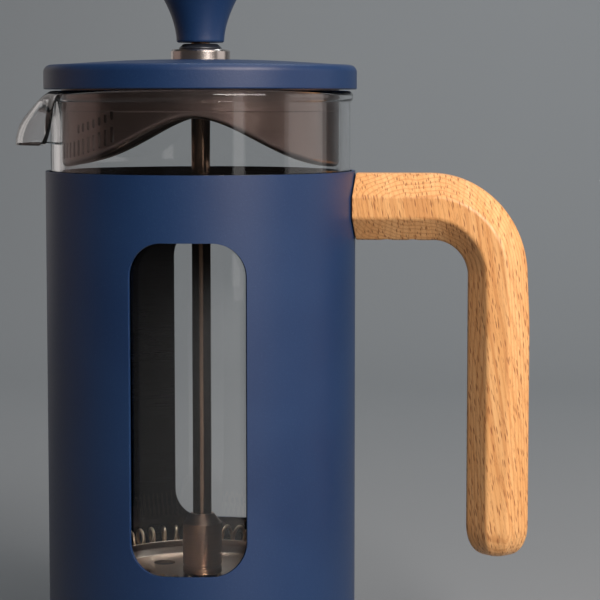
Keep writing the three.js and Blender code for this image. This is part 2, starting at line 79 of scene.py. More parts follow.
studio = {
    "world": (0.048, 0.041, 0.037),
    "floor": (0.23, 0.24, 0.25),
    "wallDistance": 900,
    "wallHeight": 1600,
    "wallCurve": 400,  # between floor and wall
    "floorReach": 1500,
    # azimuth from the front towards the handle; radiance is the brightness of the panel itself
    "lights": {
        "key": {"azimuth": 38, "height": 470, "distance": 700, "wide": 500, "tall": 420,
                "radiance": 13.0, "colour": (1.0, 0.93, 0.88), "aim": (0, 0, 80)},
        "top": {"azimuth": 60, "height": 700, "distance": 260, "wide": 500, "tall": 400,
                "radiance": 1.6, "colour": (1.0, 0.95, 0.92), "aim": (20, 0, 100)},
        "rightPanel": {"azimuth": 96, "height": 130, "distance": 650, "wide": 480, "tall": 640,
                       "radiance": 0.75, "colour": (1.0, 0.96, 0.94), "aim": (0, 0, 110)},
        "leftPanel": {"azimuth": -98, "height": 150, "distance": 700, "wide": 560, "tall": 560,
                      "radiance": 0.22, "colour": (1.0, 0.76, 0.70), "aim": (0, 0, 100)},
        "rimStrip": {"azimuth": -138, "height": 220, "distance": 650, "wide": 300, "tall": 420,
                     "radiance": 0.38, "colour": (1.0, 0.92, 0.88), "aim": (0, 0, 120)},
        "frontStrip": {"azimuth": 36, "height": 60, "distance": 800, "wide": 120, "tall": 520,
                       "radiance": 0.9, "colour": (1.0, 0.96, 0.94), "aim": (0, 0, 60)},
        "wallWash": {"azimuth": 160, "height": 900, "distance": 420, "wide": 600, "tall": 300,
                     "radiance": 7.0, "colour": (0.86, 0.95, 1.0), "aim": (20, 900, 260)},
    },
}


def aimAt(obj, target):
    obj.rotation_euler = (target - obj.location).to_track_quat("-Z", "Y").to_euler()


def makeLights():
    for name, panel in studio["lights"].items():
        data = bpy.data.lights.new(name, "AREA")
        data.shape = "RECTANGLE"
        data.size, data.size_y = panel["wide"] * mm, panel["tall"] * mm
        data.energy = panel["radiance"] * math.pi * data.size * data.size_y
        data.color = panel["colour"]
        light = bpy.data.objects.new(name, data)
        around = math.radians(panel["azimuth"])
        flat = Vector((math.sin(around), -math.cos(around), 0)) * panel["distance"]
        light.location = (flat + Vector((0, 0, panel["height"]))) * mm
        aimAt(light, Vector(panel["aim"]) * mm)
        scene.collection.objects.link(light)
    world = bpy.data.worlds.new("studioWorld")
    world.use_nodes = True
    world.node_tree.nodes["Background"].inputs[0].default_value = (*studio["world"], 1)
    scene.world = world


# shader maths

class Wire:  # a socket that takes part in sums
    def __init__(self, finish, socket):
        self.finish = finish
        self.socket = socket

    def __add__(self, other):
        return self.finish.math("ADD", self, other)

    def __radd__(self, other):
        return self.finish.math("ADD", other, self)

    def __sub__(self, other):
        return self.finish.math("SUBTRACT", self, other)

    def __rsub__(self, other):
        return self.finish.math("SUBTRACT", other, self)

    def __mul__(self, other):
        return self.finish.math("MULTIPLY", self, other)

    def __rmul__(self, other):
        return self.finish.math("MULTIPLY", other, self)

    def __pow__(self, other):
        return self.finish.math("POWER", self, other)

    def step(self, low, high):  # 0 below low, 1 above high, smooth between
        settings = {"interpolation_type": "SMOOTHSTEP"}
        return self.finish.node("MapRange", settings, {0: self, 1: low, 2: high, 3: 0, 4: 1})


class Finish:  # one material
    def __init__(self, name):
        self.material = bpy.data.materials.new(name)
        self.material.use_nodes = True
        self.tree = self.material.node_tree
        self.tree.nodes.clear()

    def node(self, kind, settings=None, sockets=None, out=0):
        made = self.tree.nodes.new("ShaderNode" + kind)
        for key, value in (settings or {}).items():
            setattr(made, key, value)
        for key, value in (sockets or {}).items():
            if isinstance(value, Wire):
                self.tree.links.new(value.socket, made.inputs[key])
            else:
                made.inputs[key].default_value = value
        return Wire(self, made.outputs[out])

    def math(self, operation, *values):
        return self.node("Math", {"operation": operation}, dict(enumerate(values)))

    # object coordinates in millimetres, turned, then scaled
    def place(self, turn=(0, 0, 0), scale=(1, 1, 1)):
        where = self.node("TexCoord", out=3)
        inMm = self.node("VectorMath", {"operation": "SCALE"}, {0: where, 3: 1000})
        turned = self.node("Mapping", {}, {"Vector": inMm, "Rotation": turn})
        return self.node("VectorMath", {"operation": "MULTIPLY"}, {0: turned, 1: scale})

    def noise(self, where, scale=1, detail=2, rough=0.5, distort=0):
        values = {"Vector": where, "Scale": scale, "Detail": detail}
        return self.node("TexNoise", {}, {**values, "Roughness": rough, "Distortion": distort})

    def mix(self, factor, a, b):  # two colours
        fill = [c if isinstance(c, Wire) else (*c, 1) for c in (a, b)]
        return self.node("Mix", {"data_type": "RGBA"}, {0: factor, 6: fill[0], 7: fill[1]}, out=2)

    def bump(self, height, strength, reach):  # reach is the height in millimetres of a full step
        return self.node("Bump", {}, {"Height": height, "Strength": strength, "Distance": reach * mm})

    def split(self, vector):
        made = self.node("SeparateXYZ", {}, {0: vector})
        return [Wire(self, made.socket.node.outputs[i]) for i in range(3)]

    def surface(self, sockets):
        shader = self.node("BsdfPrincipled", {}, sockets)
        end = self.tree.nodes.new("ShaderNodeOutputMaterial")
        self.tree.links.new(shader.socket, end.inputs[0])
        return self.material


# finishes

navyPaint = {
    "colour": (0.0062, 0.031, 0.099),
    "deep": (0.0050, 0.0255, 0.086),
    # lighter blue specks mixed into the colour: painted sparkle, standing in for the powder coat's glints
    "paintedSparkle": (0.030, 0.070, 0.150),
    "roughness": 0.42,
    "grain": 0.5,  # width of the powder's bumps
    "grainHeight": 0.035,
}


def navyFinish(name, grainStrength):
    look = navyPaint
    f = Finish(name)
    where = f.place()
    drift = f.noise(where, scale=0.035, detail=2).step(0.3, 0.7)
    powder = f.noise(where, scale=1 / look["grain"], detail=3, rough=0.6)
    # painted sparkle: fine specks made lighter in the colour rather than lit by the lamps
    sparkleSpeck = f.noise(where, scale=2.2 / look["grain"], detail=1).step(0.60, 0.72)
    colour = f.mix(drift, look["deep"], look["colour"])
    colour = f.mix(sparkleSpeck * 0.35, colour, look["paintedSparkle"])
    rough = look["roughness"] + 0.10 * (powder - 0.5) + 0.04 * drift
    normal = f.bump(powder, grainStrength, look["grainHeight"])
    gloss = {"Specular IOR Level": 0.5, "Specular Tint": (1.0, 0.90, 0.86, 1)}
    return f.surface({"Base Color": colour, "Roughness": rough, "Normal": normal, **gloss})


# ring and ray are the growth rings and the rays across them, drawn as fine waves
beech = {
    "light": (0.83, 0.465, 0.195),
    "warm": (0.72, 0.335, 0.110),
    "fleck": (0.26, 0.080, 0.020),
    "ring": (0.50, 0.190, 0.055),
    "rays": 150,  # waves in one radian
    "lean": 9.6,  # how far the fibres lean from upright, towards the sleeve
    "fleckCell": (0.50, 1.5, 3.6),  # one fleck in each
    "ringCentre": (72, -34),
    "ringPitch": 0.85,
    "roughness": 0.36,
}


def beechFinish():
    b = beech
    f = Finish("beechWood")
    turn = (0, math.radians(b["lean"]), 0)
    broad = f.noise(f.place(turn, (0.22, 0.10, 0.018)), detail=3, distort=0.6)
    bands = f.noise(f.place(turn, (0.75, 0.10, 0.014)), detail=2, rough=0.6)
    fine = f.noise(f.place(turn, (4.2, 2.6, 0.22)), detail=2, rough=0.6)
    pores = f.noise(f.place(turn, (6.5, 5.5, 0.55)), detail=1)
    cells = f.place(turn, tuple(1 / size for size in b["fleckCell"]))
    spindle = f.node("TexVoronoi", {}, {"Vector": cells, "Scale": 1.0})
    fewer = f.noise(cells, scale=0.6, detail=1).step(0.26, 0.46)
    fleck = (1 - spindle.step(0.16, 0.36)) * fewer
    pore = pores.step(0.58, 0.70)
    x, y = f.split(f.place(turn))[:2]
    wobble = f.noise(f.place(turn, (0.12, 0.12, 0.02)), detail=2) * 3
    ringX, ringY = x - b["ringCentre"][0], y - b["ringCentre"][1]
    fromCentre = (ringX * ringX + ringY * ringY) ** 0.5 + wobble
    ring = f.math("SINE", fromCentre * (2 * math.pi / b["ringPitch"])).step(0.1, 1.0)
    around = f.math("ARCTAN2", ringY, ringX)
    ray = f.math("SINE", around * b["rays"] + wobble).step(0.2, 1.0)
    colour = f.mix(broad.step(0.30, 0.70) * 0.65, b["light"], b["warm"])
    colour = f.mix(bands.step(0.46, 0.62) * 0.35, colour, b["warm"])
    colour = f.mix(ring * 0.46, colour, b["ring"])
    colour = f.mix(ray * 0.30, colour, b["ring"])
    colour = f.mix(fine.step(0.45, 0.75) * 0.35, colour, b["warm"])
    colour = f.mix(fleck * 0.80, colour, b["fleck"])
    colour = f.mix(pore * 0.36, colour, b["fleck"])
    rough = b["roughness"] + 0.12 * fleck + 0.08 * fine
    height = 0.4 * fine - 0.6 * fleck - 0.4 * pore
    normal = f.bump(height, 0.35, 0.08)
    gloss = {"Specular IOR Level": 0.45}
    return f.surface({"Base Color": colour, "Roughness": rough, "Normal": normal, **gloss})


clearGlass = {"ior": 1.47, "tint": (0.975, 0.988, 0.985)}


def glassFinish():
    f = Finish("clearGlass")
    ripple = f.noise(f.place(scale=(0.05, 0.05, 0.02)), detail=1)
    tone = f.mix(ripple, clearGlass["tint"], (1.0, 1.0, 1.0))
    clear = {"Transmission Weight": 1.0, "IOR": clearGlass["ior"], "Roughness": 0.0}
    return f.surface({"Base Color": tone, "Normal": f.bump(ripple, 0.25, 0.5), **clear})


# One stainless steel in lighter and darker copies. Each part's colour is set to how lit or shaded it shows,
# and a warm tint stands in for reflections of the wood and room: painted light, shade and reflection.
steelLooks = {
    "litBrightSteel": {"colour": (0.86, 0.68, 0.56), "roughness": 0.28, "brush": 0.25, "round": True},
    # skirt, rod and hub made darker: painted shade and dark reflection
    "shadedSkirtSteel": {"colour": (0.20, 0.145, 0.130), "roughness": 0.30, "brush": 0.25, "round": True},
    "shadedRodSteel": {"colour": (0.30, 0.19, 0.13), "roughness": 0.13, "brush": 0.12, "round": False},
    "shadedHubSteel": {"colour": (0.62, 0.45, 0.35), "roughness": 0.30, "brush": 0.12, "round": True},
    "ferruleSteel": {"colour": (0.70, 0.63, 0.59), "roughness": 0.20, "brush": 0.30, "round": True},
    # near black: painted shade inside the sleeve
    "shadedInnerSteel": {"colour": (0.040, 0.042, 0.056), "roughness": 0.24, "brush": 0.35, "round": True},
    # coil made lighter and warmer: painted light on the spring
    "litSpringSteel": {"colour": (0.98, 0.74, 0.52), "roughness": 0.36, "brush": 0.10, "round": True},
}


def steelFinish(name):
    look = steelLooks[name]
    f = Finish(name)
    x, y, z = f.split(f.place())
    if look["round"]:  # brushed round the axis, else along it
        lines = f.node("CombineXYZ", {}, {0: (x * x + y * y) ** 0.5 * 9, 1: z * 9})
    else:
        lines = f.node("CombineXYZ", {}, {0: (x + y) * 9, 1: z * 0.3})
    brush = f.noise(lines, detail=3, rough=0.7)
    cloud = f.noise(f.place(), scale=0.12, detail=3)
    dim, dark = (tuple(share * c for c in look["colour"]) for share in (0.72, 0.6))
    tone = f.mix(cloud.step(0.35, 0.7) * 0.35, look["colour"], dim)
    tone = f.mix(brush.step(0.45, 0.65) * 0.20, tone, dark)
    rough = look["roughness"] + 0.08 * (brush - 0.5) + 0.05 * cloud
    normal = f.bump(brush, look["brush"], 0.006)
    return f.surface({"Base Color": tone, "Roughness": rough, "Normal": normal, "Metallic": 1.0})


def screenFinish():
    f = Finish("wovenSteel")
    pitch = 0.42
    x, y = f.split(f.place(scale=(2 * math.pi / pitch,) * 3))[:2]
    wire = (f.math("SINE", x) * f.math("SINE", y)).step(-0.4, 0.6)
    tone = f.mix(wire, (0.14, 0.12, 0.11), (0.60, 0.55, 0.50))
    rough = 0.30 + 0.25 * (1 - wire)
    normal = f.bump(wire, 0.8, 0.12)
    return f.surface({"Base Color": tone, "Roughness": rough, "Normal": normal, "Metallic": 1.0})


def rubberFinish():
    f = Finish("blackRubber")
    grain = f.noise(f.place(), scale=3.5, detail=3)
    tone = f.mix(grain.step(0.3, 0.7), (0.012, 0.012, 0.013), (0.022, 0.022, 0.023))
    rough = 0.62 + 0.12 * grain
    return f.surface({"Base Color": tone, "Roughness": rough, "Normal": f.bump(grain, 0.3, 0.03)})


def nylonFinish():
    f = Finish("darkNylon")
    grain = f.noise(f.place(), scale=2.5, detail=3)
    tone = f.mix(grain.step(0.3, 0.7), (0.010, 0.012, 0.018), (0.022, 0.025, 0.034))
    rough = 0.28 + 0.14 * grain
    return f.surface({"Base Color": tone, "Roughness": rough, "Normal": f.bump(grain, 0.2, 0.02)})


def brassFinish():
    f = Finish("turnedBrass")
    z = f.split(f.place())[2]
    turns = f.noise(f.node("CombineXYZ", {}, {0: z * 6}), detail=2)
    tone = f.mix(turns.step(0.4, 0.6), (0.62, 0.43, 0.15), (0.74, 0.55, 0.24))
    rough = 0.26 + 0.1 * turns
    normal = f.bump(turns, 0.3, 0.02)
    return f.surface({"Base Color": tone, "Roughness": rough, "Normal": normal, "Metallic": 1.0})


# mesh tools

def boxMm(node):
    low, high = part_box(node)
    return Vector(low) / mm, Vector(high) / mm


def radiusOf(node):
    low, high = boxMm(node)
    return (high.y - low.y) / 2


def lerp(a, b, t):
    return a + (b - a) * t


def easeStep(t):
    t = min(max(t, 0), 1)
    return t * t * (3 - 2 * t)


# rounds the corners of an outline: a point is (x, y) or (x, y, radius)
def rounded(points, closed=False, steps=5):
    out = []
    count = len(points)
    for i, point in enumerate(points):
        here = Vector(point[:2])
        size = point[2] if len(point) > 2 else 0
        inside = closed or 0 < i < count - 1
        if not size or not inside:
            out.append(tuple(here))
            continue
        before = (Vector(points[i - 1][:2]) - here).normalized()
        after = (Vector(points[(i + 1) % count][:2]) - here).normalized()
        half = before.angle(after) / 2
        reach = size / math.tan(half)
        centre = here + (before + after).normalized() * (size / math.sin(half))
        start = here + before * reach - centre
        end = here + after * reach - centre
        sweep = math.atan2(start.x * end.y - start.y * end.x, start.dot(end))
        for k in range(steps + 1):
            a = sweep * k / steps
            turned = Vector((start.x * math.cos(a) - start.y * math.sin(a),
                             start.x * math.sin(a) + start.y * math.cos(a)))
            out.append(tuple(centre + turned))
    return out


def newPiece(name, points, faces, sharp=40):
    mesh = bpy.data.meshes.new(name)
    mesh.from_pydata([Vector(p) * mm for p in points], [], faces)
    work = bmesh.new()
    work.from_mesh(mesh)
    bmesh.ops.remove_doubles(work, verts=work.verts, dist=1e-7)
    bmesh.ops.recalc_face_normals(work, faces=work.faces)
    work.to_mesh(mesh)
    work.free()
    piece = bpy.data.objects.new(name, mesh)
    scene.collection.objects.link(piece)
    smoothPiece(piece, sharp)
    return piece


def smoothPiece(piece, sharp=40):
    mesh = piece.data
    mesh.polygons.foreach_set("use_smooth", [True] * len(mesh.polygons))
    mesh.set_sharp_from_angle(angle=math.radians(sharp))


def settle(piece):  # makes the modifiers' result the piece's own mesh
    shown = piece.evaluated_get(bpy.context.evaluated_depsgraph_get())
    mesh = bpy.data.meshes.new_from_object(shown)
    piece.modifiers.clear()
    piece.data = mesh


def evenNormals(piece):
    weigh = piece.modifiers.new("evenNormals", "WEIGHTED_NORMAL")
    weigh.keep_sharp = True
    settle(piece)


def roundNormals(piece, radii):  # exact normals where a face lies on an upright cylinder about Z
    mesh = piece.data
    normals = [Vector((0, 0, 0))] * len(mesh.loops)
    for face in mesh.polygons:
        middle = Vector((face.center.x, face.center.y, 0)).normalized()
        facing = face.normal.dot(middle)
        if abs(facing) < 0.98:
            continue
        for index in face.loop_indices:
            place = mesh.vertices[mesh.loops[index].vertex_index].co
            out = Vector((place.x, place.y, 0))
            if min(abs(out.length / mm - r) for r in radii) < 0.01:
                normals[index] = out.normalized() * math.copysign(1, facing)
    mesh.normals_split_custom_set(normals)


# joins equal loops of points into a skin; endless joins the last loop to the first
def skinPiece(name, loops, endless, sharp=40, even=True):
    size = len(loops[0])
    points = [p for loop in loops for p in loop]
    faces = []
    for i in range(len(loops) if endless else len(loops) - 1):
        here, there = i * size, ((i + 1) % len(loops)) * size
        for j in range(size):
            k = (j + 1) % size
            faces.append((here + j, there + j, there + k, here + k))
    if not endless:
        faces.append(tuple(range(size)))
        faces.append(tuple(reversed(range(len(points) - size, len(points)))))
    piece = newPiece(name, points, faces, sharp)
    if even:
        evenNormals(piece)
    return piece


# turns an outline of (radius, height) about Z; an outline that touches the axis twice closes there
def turnedPiece(name, outline, steps=128, sharp=40):
    onAxis = outline[0][0] == 0 and outline[-1][0] == 0
    size = len(outline)
    points, faces = [], []
    for i in range(steps):
        a = 2 * math.pi * i / steps
        points += [(r * math.cos(a), r * math.sin(a), z) for r, z in outline]
    for i in range(steps):
        here, there = i * size, ((i + 1) % steps) * size
        for j in range(size - 1 if onAxis else size):
            k = (j + 1) % size
            faces.append((here + j, there + j, there + k, here + k))
    piece = newPiece(name, points, faces, sharp)
    evenNormals(piece)
    return piece


def cutPiece(piece, cutters):
    for cutter in cutters:
        tool = piece.modifiers.new("cut", "BOOLEAN")
        tool.operation = "DIFFERENCE"
        tool.solver = "EXACT"
        tool.object = cutter
    settle(piece)
    for cutter in cutters:
        bpy.data.objects.remove(cutter)
    smoothPiece(piece)
    evenNormals(piece)


def cylinderTool(x, y, low, high, radius, steps=48):
    turns = [2 * math.pi * i / steps for i in range(steps)]
    loops = [[(x + radius * math.cos(a), y + radius * math.sin(a), z) for a in turns] for z in (low, high)]
    return skinPiece("tool", loops, False, even=False)


def blockTool(start, end, halfWidth, middle, halfHeight):  # a bar along X
    corners = [(start, -halfWidth), (end, -halfWidth), (end, halfWidth), (start, halfWidth)]
    loops = [[(x, y, z) for x, y in corners] for z in (middle - halfHeight, middle + halfHeight)]
    return skinPiece("tool", loops, False, even=False)


def fit(piece, body, material, node):  # gives a piece its body and finish, and hides the node it replaces
    piece.data.materials.clear()
    piece.data.materials.append(material)
    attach(piece, body)
    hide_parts(node)
    return piece


def finishNode(name, material):  # keeps a CAD node's shape, with a better finish
    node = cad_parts[name]
    node.data.materials.clear()
    node.data.materials.append(material)


# sleeve

sleeveShape = {
    "wall": 0.8,
    "lip": 33.9,  # the inward lip's inner radius
    "fold": 1.2,  # round of the bottom edge
    "windowMiddle": 1.3,
    "windowWidth": 26.1,
    "windowLow": 26.9,
    "windowHigh": 100.7,
    "corner": 7.5,
    "cornerSteps": 12,
    "sideSteps": 60,  # between the windows
    "edgeRound": 0.16,
    "edgeAngle": 50,
}


# (angle from straight ahead, low edge, high edge) across one window, from side to side
def windowColumns(radius):
    s = sleeveShape
    half, corner, steps = s["windowWidth"] / 2, s["corner"], s["cornerSteps"]
    places = []
    for i in range(steps + 1):
        a = math.pi / 2 * i / steps
        places.append((half - corner + corner * math.cos(a), corner * (1 - math.sin(a))))
    inner = places[-1][0]
    places += [(inner * (1 - i / 3), 0) for i in range(1, 6)] + [(-x, rise) for x, rise in places]
    columns = []
    for x, rise in sorted(places):
        angle = math.degrees(math.asin((s["windowMiddle"] + x) / radius))
        columns.append((angle, s["windowLow"] + rise, s["windowHigh"] - rise))
    return columns


# (angle, low edge, high edge, open towards the next column) all round the sleeve
def sleeveColumns(radius):
    steps = sleeveShape["sideSteps"]
    window = windowColumns(radius)
    sideLow, sideHigh = window[0][1:]
    front = [(a - 90, low, high) for a, low, high in window]
    back = [(90 - a, low, high) for a, low, high in reversed(window)]
    columns = []
    for edge, after in ((front, back[0][0]), (back, front[0][0] + 360)):
        columns += [(a, low, high, i < len(edge) - 1) for i, (a, low, high) in enumerate(edge)]
        columns += [(lerp(edge[-1][0], after, i / steps), sideLow, sideHigh, False) for i in range(1, steps)]
    return columns


def makeSleeve(paint, inside):
    s = sleeveShape
    low, high = boxMm("housing_sleeve")
    radius = (high.x - low.x) / 2
    inner = radius - s["wall"]
    footOut = rounded([(s["lip"], low.z), (radius, low.z, s["fold"]), (radius, high.z)])[:-1]
    footIn = [(min(r, inner), max(z, low.z + s["wall"])) for r, z in footOut]
    columns = sleeveColumns(radius)
    size = len(footOut) + 3
    points, faces = [], []
    for wall, foot in ((radius, footOut), (inner, footIn)):
        for angle, windowLow, windowHigh, _ in columns:
            a = math.radians(angle)
            rows = foot + [(wall, windowLow), (wall, windowHigh), (wall, high.z)]
            points += [(r * math.cos(a), r * math.sin(a), z) for r, z in rows]
    count = len(columns)
    within = count * size  # where the inner surface's points start
    for i in range(count):
        here, there = i * size, (i + 1) % count * size
        for j in range(size - 1):
            if columns[i][3] and j == size - 3:
                continue
            faces.append((here + j, there + j, there + j + 1, here + j + 1))
            faces.append(tuple(within + k for k in (here + j + 1, there + j + 1, there + j, here + j)))
        faces.append((here + size - 1, there + size - 1, within + there + size - 1, within + here + size - 1))
        faces.append((there, here, within + here, within + there))
        if columns[i][3]:  # the window's edges below and above
            for row in (size - 3, size - 2):
                faces.append((here + row, there + row, within + there + row, within + here + row))
        if columns[i][3] != columns[i - 1][3]:  # its upright edges
            a, b = here + size - 3, here + size - 2
            faces.append((a, b, within + b, within + a))
    piece = newPiece("sleeveShell", points, faces, s["edgeAngle"])
    edgeRound = piece.modifiers.new("edge", "BEVEL")
    edgeRound.width = s["edgeRound"] * mm
    edgeRound.segments = 3
    edgeRound.limit_method = "ANGLE"
    edgeRound.angle_limit = math.radians(s["edgeAngle"])
    settle(piece)
    smoothPiece(piece, s["edgeAngle"])
    roundNormals(piece, (radius, inner))
    fit(piece, "housing", paint, "housing_sleeve")
    piece.data.materials.append(inside)
    for face in piece.data.polygons:  # bare steel inside, near black: painted shade
        middle = face.center / mm
        across = math.hypot(middle.x, middle.y)
        if across < inner + 0.1 and middle.z > low.z + s["wall"] / 2:
            face.material_index = 1
    return piece


# foot and base

footShape = {
    "grooveOut": 4.6,  # the groove's edges, from the pad's edge
    "grooveIn": 7.0,
    "grooveSlope": 0.6,
    "grooveDeep": 0.5,
    "cushionHole": 12,
    "soften": 0.3,
}


def makeFoot(rubber, steel):
    s = footShape
    soft = s["soften"]
    low, high = boxMm("base_pad")
    r, groove = high.x, low.z + s["grooveDeep"]
    outline = [(0, low.z), (r - s["grooveIn"], low.z), (r - s["grooveIn"] + s["grooveSlope"], groove, 0.2),
               (r - s["grooveOut"] - s["grooveSlope"], groove, 0.2), (r - s["grooveOut"], low.z, 0.2),
               (r, low.z, 0.6), (r, high.z, 0.4), (0, high.z)]
    fit(turnedPiece("footPad", rounded(outline)), "housing", rubber, "base_pad")
    low, high = boxMm("base_plate")
    outline = [(0, low.z), (high.x, low.z, soft), (high.x, high.z, soft), (0, high.z)]
    fit(turnedPiece("basePlate", rounded(outline)), "housing", steel, "base_plate")
    low, high = boxMm("beaker_cushion")
    hole = s["cushionHole"]
    outline = [(hole, low.z, soft), (high.x, low.z, soft), (high.x, high.z, soft), (hole, high.z, soft)]
    cushion = turnedPiece("beakerCushion", rounded(outline, closed=True))
    fit(cushion, "housing", rubber, "beaker_cushion")


# handle

handleShape = {
    "bendX": 53.3,
    "bendZ": 92.1,
    "armOuter": 23.0,
    "armInner": 7.5,
    "gripOuter": 23.2,
    "gripInner": 8.9,
    "ease": 0.62,  # how much flatter the outer curve is than a round one
    "easeRun": 1.6,  # where that ends, in bends
    "easeLength": 24,  # one bend's length down the grip
    "halfWidth": 7.0,
    "sideFlat": 2.5,  # half of the flat that faces the sides
    "edgeFlat": 2.2,
    "soften": 1.5,
    "dome": 7.5,
    "domeTurn": 86,  # degrees of a quarter round, short of a point
    "domePower": 0.62,
    "rootGap": 0.32,
    # what is cut out for the parts inside
    "screwPlaces": (43.5, 49.5),
    "screwHead": 2.3,
    "headTop": -5.2,  # from the arm's middle
    "screwShank": 1.5,
    "shankTop": 5.3,
    "hollowStart": 30,
    "sealDepth": 1.2,
    "sealScale": 0.92,
    "padDepth": 1.9,
    "padHalf": (4.6, 3.3),  # half width, half height
    "tongueHalf": (3.8, 1.8),
    "tongueGap": 0.3,
}


def handleSection(half):
    h = handleShape
    wide, flat, edge = h["halfWidth"], h["sideFlat"], h["edgeFlat"]
    corners = [(half, edge), (flat, wide), (-flat, wide), (-half, edge),
               (-half, -edge), (-flat, -wide), (flat, -wide), (half, -edge)]
    return rounded([(u, v, h["soften"]) for u, v in corners], closed=True, steps=5)


def handleLoop(x, z, angle, half, scale=1):
    return [(x + u * scale * math.cos(angle), v * scale, z + u * scale * math.sin(angle))
            for u, v in handleSection(half)]


# cutters for the screws, the seal and the bracket
def handleTools(sleeveRadius, armZ, armHalf):
    h = handleShape
    under = armZ - armHalf
    tools = []
    for x in h["screwPlaces"]:
        tools.append(cylinderTool(x, 0, under - 1, armZ + h["headTop"], h["screwHead"]))
        tools.append(cylinderTool(x, 0, under, armZ + h["shankTop"], h["screwShank"], 24))
    start = handleLoop(h["hollowStart"], armZ, math.pi / 2, armHalf, h["sealScale"])
    end = [(math.sqrt((sleeveRadius + h["sealDepth"]) ** 2 - y * y), y, z) for x, y, z in start]
    tools.append(skinPiece("tool", [start, end], False, even=False))
    wide, tall = h["padHalf"]
    tools.append(blockTool(h["hollowStart"], sleeveRadius + h["padDepth"], wide, armZ, tall))
    wide, tall = h["tongueHalf"]
    tongueEnd = boxMm("handle_bracket")[1].x + h["tongueGap"]
    tools.append(blockTool(h["hollowStart"], tongueEnd, wide, armZ, tall))
    return tools


def makeHandle(wood):
    h = handleShape
    domeBottom = boxMm("handle")[0].z
    domeTop = domeBottom + h["dome"]
    sleeveRadius = boxMm("housing_sleeve")[1].x
    armHalf = (h["armOuter"] - h["armInner"]) / 2
    armZ = h["bendZ"] + (h["armOuter"] + h["armInner"]) / 2
    gripHalf = (h["gripOuter"] - h["gripInner"]) / 2
    gripX = h["bendX"] + (h["gripOuter"] + h["gripInner"]) / 2
    rootRadius = sleeveRadius + h["rootGap"]
    armSteps, bendSteps, gripSteps, domeSteps = 7, 32, 24, 12

    def eased(t):  # the outer curve is a little flatter, and runs on into the grip
        return h["ease"] * math.sin(math.pi * min(t / h["easeRun"], 1)) ** 2

    loops = []
    for back, scale in ((0.0, 0.965), (0.10, 0.988), (0.35, 1.0)):  # the root, with a small round edge
        loop = handleLoop(0, armZ, math.pi / 2, armHalf, scale)
        loops.append([(math.sqrt(rootRadius ** 2 - y * y) + back, y, z) for x, y, z in loop])
    for i in range(1, armSteps):
        x = lerp(rootRadius + 0.5, h["bendX"], i / armSteps)
        loops.append(handleLoop(x, armZ, math.pi / 2, armHalf))
    for i in range(bendSteps + 1):
        t = i / bendSteps
        angle = (1 - t) * math.pi / 2
        outer = lerp(h["armOuter"], h["gripOuter"], t) - eased(t)
        inner = lerp(h["armInner"], h["gripInner"], t)
        middle = (outer + inner) / 2
        x, z = h["bendX"] + middle * math.cos(angle), h["bendZ"] + middle * math.sin(angle)
        loops.append(handleLoop(x, z, angle, (outer - inner) / 2))
    for i in range(1, gripSteps):
        z = lerp(h["bendZ"], domeTop, i / gripSteps)
        less = eased(1 + (h["bendZ"] - z) / h["easeLength"]) / 2
        loops.append(handleLoop(gripX - less, z, 0, gripHalf - less))
    lastTurn = math.radians(h["domeTurn"])
    for i in range(domeSteps + 1):
        a = lastTurn * i / domeSteps
        z = domeBottom + h["dome"] * (1 - math.sin(a) / math.sin(lastTurn))
        loops.append(handleLoop(gripX, z, 0, gripHalf, math.cos(a) ** h["domePower"]))
    piece = skinPiece("beechHandle", loops, False, sharp=60, even=False)
    cutPiece(piece, handleTools(sleeveRadius, armZ, armHalf))
    return fit(piece, "housing", wood, "handle")


# beaker

glassShape = {
    "radius": 34.8,
    "wall": 2.3,
    "floor": 2.8,
    "heel": 5.0,
    "bead": 2.6,
    "beadOut": 0.7,  # past the wall
    "beadRound": 1.2,
    "reach": 43.6,  # how far the lip's tip is from the axis
    "drop": 12.6,
    "channel": 2.6,
    "fullness": 1.3,  # widens the lip's sides
    "foldFull": 20,  # degrees each side of the lip's middle
    "foldSpan": 32,
    "reachSpan": 27,
    "channelSpan": 13,
    "start": 17,  # the plain wall ends this far below the rim
    "sheet": 1.1,  # the lip's thickness
    "lipSteps": 34,  # one for each degree, each side of the lip's middle
    "roundSteps": 116,  # over the rest
}


